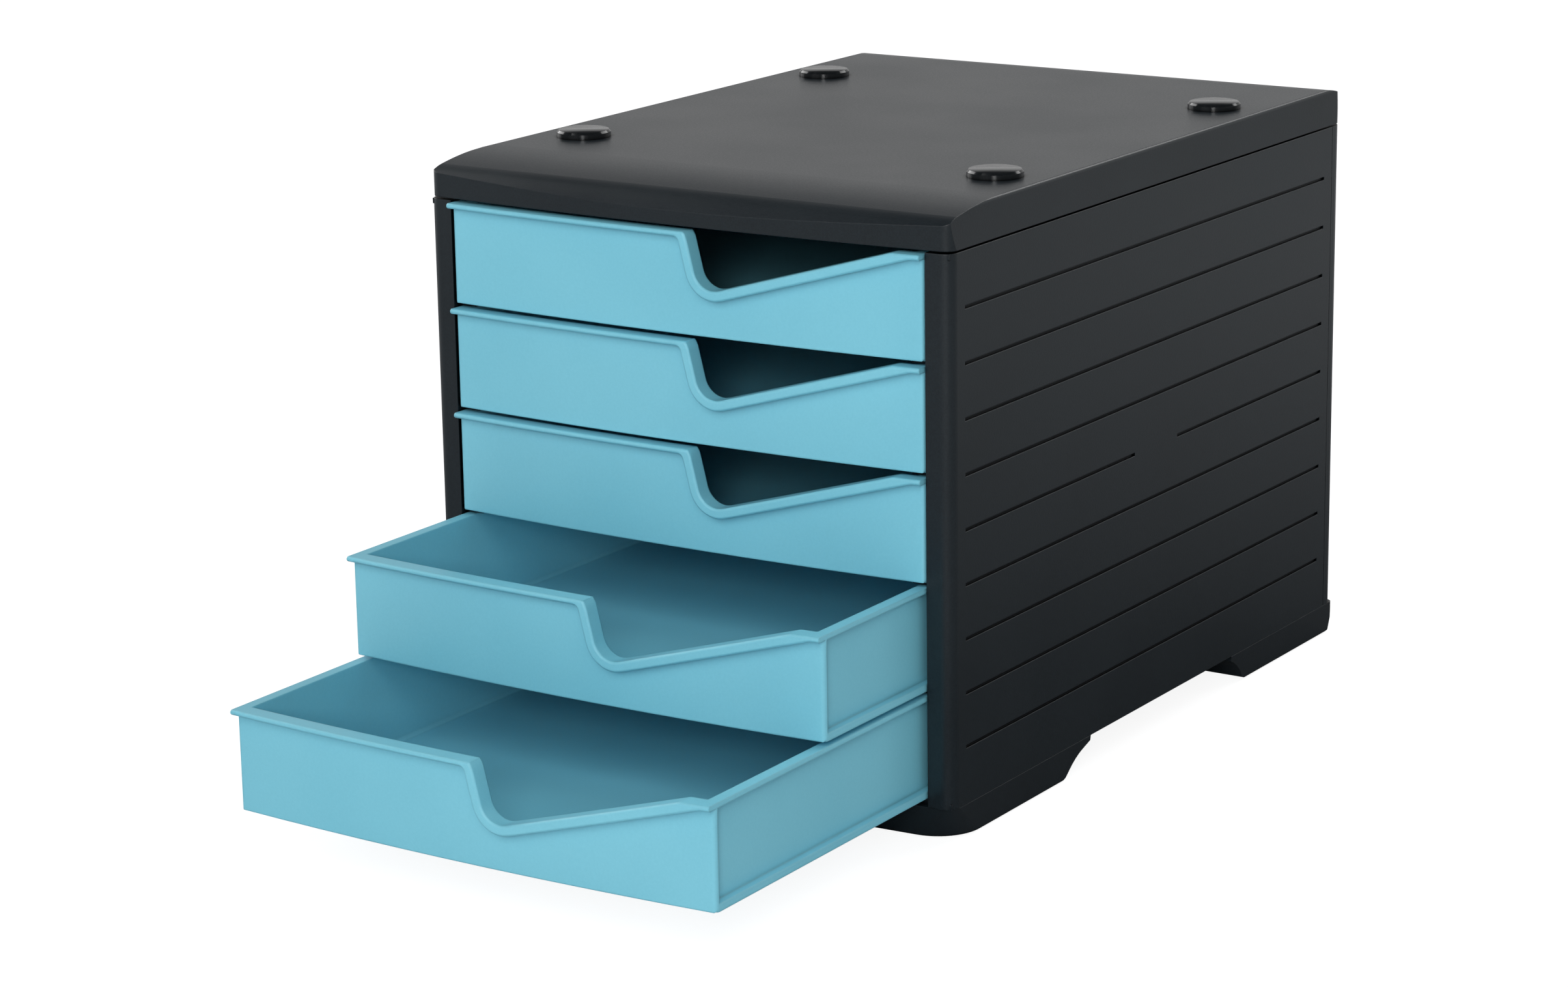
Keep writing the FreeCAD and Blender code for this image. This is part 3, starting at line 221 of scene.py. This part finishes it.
def zincSteel():
    material, tree, output, place = newMaterial("zincPlatedSteel")
    marks = addNode(tree, "ShaderNodeTexNoise",
                    {"Scale": 1 / (screwLook["markMm"] * mm), "Detail": screwLook["markDetail"]},
                    [(place, "Vector")])
    tone = addNode(tree, "ShaderNodeValToRGB", None, [(marks.outputs["Fac"], "Fac")])
    tone.color_ramp.elements[0].color = toLinear(screwLook["dark"])
    tone.color_ramp.elements[1].color = toLinear(screwLook["light"])
    shader = addNode(tree, "ShaderNodeBsdfPrincipled",
                     {"Metallic": 1.0, "Roughness": screwLook["roughness"]},
                     [(tone.outputs["Color"], "Base Color")])
    tree.links.new(shader.outputs["BSDF"], output.inputs["Surface"])
    return material


finishes = {
    "housing_plastic": mouldedPlastic("grainedPolystyrene", housingLook),
    "drawer_plastic": mouldedPlastic("satinPolystyrene", drawerLook),
    "pad_rubber": mouldedPlastic("mouldedRubber", rubberLook),
    "zinc_screw": zincSteel(),
}

for subpart in frame["record"]["subparts"]:
    node = subpart["node"]
    slot = subpart["material_slot"]
    if slot == "button_plastic":
        # each button's crown is centred on that button
        finish = mouldedPlastic("polishedPolystyrene", buttonLook, node)
    else:
        finish = finishes[slot]
    piece = frame["nodes"][node]
    piece.data.materials.clear()
    piece.data.materials.append(finish)
print("finishes assigned")


stage = {
    "paper": "#eef0f2",
    "halfSize": 6.0,
    "white": 1.25,  # strength of the glow that the camera sees in its place
    "shadowShare": 0.28,  # how much of the shadow is left on the paper when it is seen directly
    # painted shadow: how bright the paper is painted where the plastic mirrors it, darker near the box,
    # by distance from the box in metres
    "nearDistance": 0.25,
    "nearPaintedShadowLevel": 0.14,
    "farDistance": 1.3,
    "farPaintedShadowLevel": 0.6,
}


def whiteStage():
    # pale paper that lights the box from below and looks white from the camera, with a painted shadow
    # around the box where the plastic mirrors it
    material, tree, output, place = newMaterial("palePaper")
    rays = addNode(tree, "ShaderNodeLightPath").outputs
    direct = addNode(tree, "ShaderNodeMath", {1: 1 - stage["shadowShare"]}, [(rays["Is Camera Ray"], 0)],
                     operation="MULTIPLY")
    far = addNode(tree, "ShaderNodeVectorMath", None, [(place, 0)], operation="LENGTH").outputs["Value"]
    # painted shadow: for mirror rays the paper darkens towards the box
    level = addNode(tree, "ShaderNodeMapRange",
                    {"From Min": stage["nearDistance"], "From Max": stage["farDistance"],
                     "To Min": stage["nearPaintedShadowLevel"], "To Max": stage["farPaintedShadowLevel"]}, [(far, "Value")])
    tone = addNode(tree, "ShaderNodeMapRange", {"To Min": 1.0},
                   [(rays["Is Glossy Ray"], "Value"), (level.outputs[0], "To Max")])
    colour = addNode(tree, "ShaderNodeVectorMath", {0: toLinear(stage["paper"])[:3]},
                     [(tone.outputs[0], "Scale")], operation="SCALE")
    paper = addNode(tree, "ShaderNodeBsdfDiffuse", None, [(colour.outputs[0], "Color")])
    glow = addNode(tree, "ShaderNodeEmission", {"Color": (1, 1, 1, 1), "Strength": stage["white"]})
    mix = addNode(tree, "ShaderNodeMixShader", None,
                  [(direct.outputs[0], 0), (paper.outputs[0], 1), (glow.outputs[0], 2)])
    tree.links.new(mix.outputs[0], output.inputs["Surface"])
    shape = bmesh.new()
    bmesh.ops.create_grid(shape, x_segments=1, y_segments=1, size=stage["halfSize"])
    mesh = bpy.data.meshes.new("floor")
    shape.to_mesh(mesh)
    shape.free()
    floor = bpy.data.objects.new("floor", mesh)
    bpy.context.scene.collection.objects.link(floor)
    mesh.materials.append(material)


room = {
    "brightSide": (-0.72, 0.69),  # where the backdrop is brightest: behind the box, to the left
    "brightening": (-0.2, 1.0),  # cosines from that side between which it goes from around to bright
    "around": 0.4,
    "bright": 0.55,
    "bandTop": (0.3, 0.62),  # sines of the heights where the backdrop starts to darken and where it ends
    "dim": 0.05,  # what is mirrored above the backdrop
    "fill": 0.17,  # what lights the matt surfaces
    "white": 1.05,  # what the camera sees
}


def studioRoom():
    # even fill on matt surfaces, a backdrop that shines in the lid, white where it is seen directly
    world = bpy.data.worlds.new("room")
    world.use_nodes = True
    bpy.context.scene.world = world
    tree = world.node_tree
    tree.nodes.clear()
    rays = addNode(tree, "ShaderNodeLightPath").outputs
    heading = addNode(tree, "ShaderNodeTexCoord").outputs["Generated"]
    toward = addNode(tree, "ShaderNodeVectorMath", {1: (*room["brightSide"], 0)}, [(heading, 0)],
                     operation="DOT_PRODUCT").outputs["Value"]
    height = addNode(tree, "ShaderNodeSeparateXYZ", None, [(heading, 0)]).outputs["Z"]
    bandStart, bandEnd = room["bandTop"]
    band = addNode(tree, "ShaderNodeMapRange",
                   {"From Min": bandStart, "From Max": bandEnd, "To Min": 1.0, "To Max": 0.0},
                   [(height, "Value")], interpolation_type="SMOOTHSTEP")
    sideStart, sideEnd = room["brightening"]
    side = addNode(tree, "ShaderNodeMapRange",
                   {"From Min": sideStart, "From Max": sideEnd, "To Min": room["around"],
                    "To Max": room["bright"]}, [(toward, "Value")])
    lit = addNode(tree, "ShaderNodeMath", {2: room["dim"]}, [(band.outputs[0], 0), (side.outputs[0], 1)],
                  operation="MULTIPLY_ADD")
    strength = addNode(tree, "ShaderNodeMapRange", {"To Max": room["fill"]},
                       [(rays["Is Diffuse Ray"], "Value"), (lit.outputs[0], "To Min")])
    inside = addNode(tree, "ShaderNodeBackground", {"Color": (1, 1, 1, 1)},
                     [(strength.outputs[0], "Strength")])
    white = addNode(tree, "ShaderNodeBackground", {"Color": (1, 1, 1, 1), "Strength": room["white"]})
    mix = addNode(tree, "ShaderNodeMixShader", None,
                  [(rays["Is Camera Ray"], 0), (inside.outputs[0], 1), (white.outputs[0], 2)])
    addNode(tree, "ShaderNodeOutputWorld", None, [(mix.outputs[0], "Surface")])


# soft square lamps: places and sizes in metres, powers in watts
lampAim = (0, 0, 0.13)
lamps = {
    "key": {"place": (-0.5, -2.37, 1.9), "size": 1.8, "power": 21},
    "right": {"place": (1.39, -1.99, 1.9), "size": 1.4, "power": 17},
    "low": {"place": (1.35, -2.53, 1.0), "size": 0.6, "power": 22},
    "left": {"place": (-2.7, 0.3, 1.5), "size": 1.8, "power": 36},
    "back": {"place": (0.8, 2.1, 2.1), "size": 1.8, "power": 32},
}


def hangLamps():
    for name, lamp in lamps.items():
        light = bpy.data.lights.new(name, "AREA")
        light.shape = "SQUARE"
        light.size = lamp["size"]
        light.energy = lamp["power"]
        holder = bpy.data.objects.new(name, light)
        holder.location = lamp["place"]
        beam = Vector(lampAim) - Vector(lamp["place"])
        holder.rotation_euler = beam.to_track_quat("-Z", "Y").to_euler()
        bpy.context.scene.collection.objects.link(holder)


view = {
    "place": (0.94106, -1.45505, 0.56864),
    "lookAt": (-0.12105, 0.16173, 0.06076),
    "roll": -0.876,
    "focalPixels": 6109.6,
    "imageWidth": 2408,
    "sensorMm": 36,
    "farEnd": 50,
}


def setCamera():
    camera = bpy.data.cameras.new("camera")
    camera.sensor_width = view["sensorMm"]
    camera.lens = view["sensorMm"] * view["focalPixels"] / view["imageWidth"]
    camera.clip_end = view["farEnd"]
    holder = bpy.data.objects.new("camera", camera)
    aim = (Vector(view["lookAt"]) - Vector(view["place"])).to_track_quat("-Z", "Y")
    turn = aim.to_matrix().to_4x4() @ Matrix.Rotation(math.radians(view["roll"]), 4, "Z")
    holder.matrix_world = Matrix.Translation(Vector(view["place"])) @ turn
    bpy.context.scene.collection.objects.link(holder)
    bpy.context.scene.camera = holder


whiteStage()
studioRoom()
hangLamps()
setCamera()
bpy.context.scene.view_settings.view_transform = "Standard"
print("stage, lamps and camera ready")
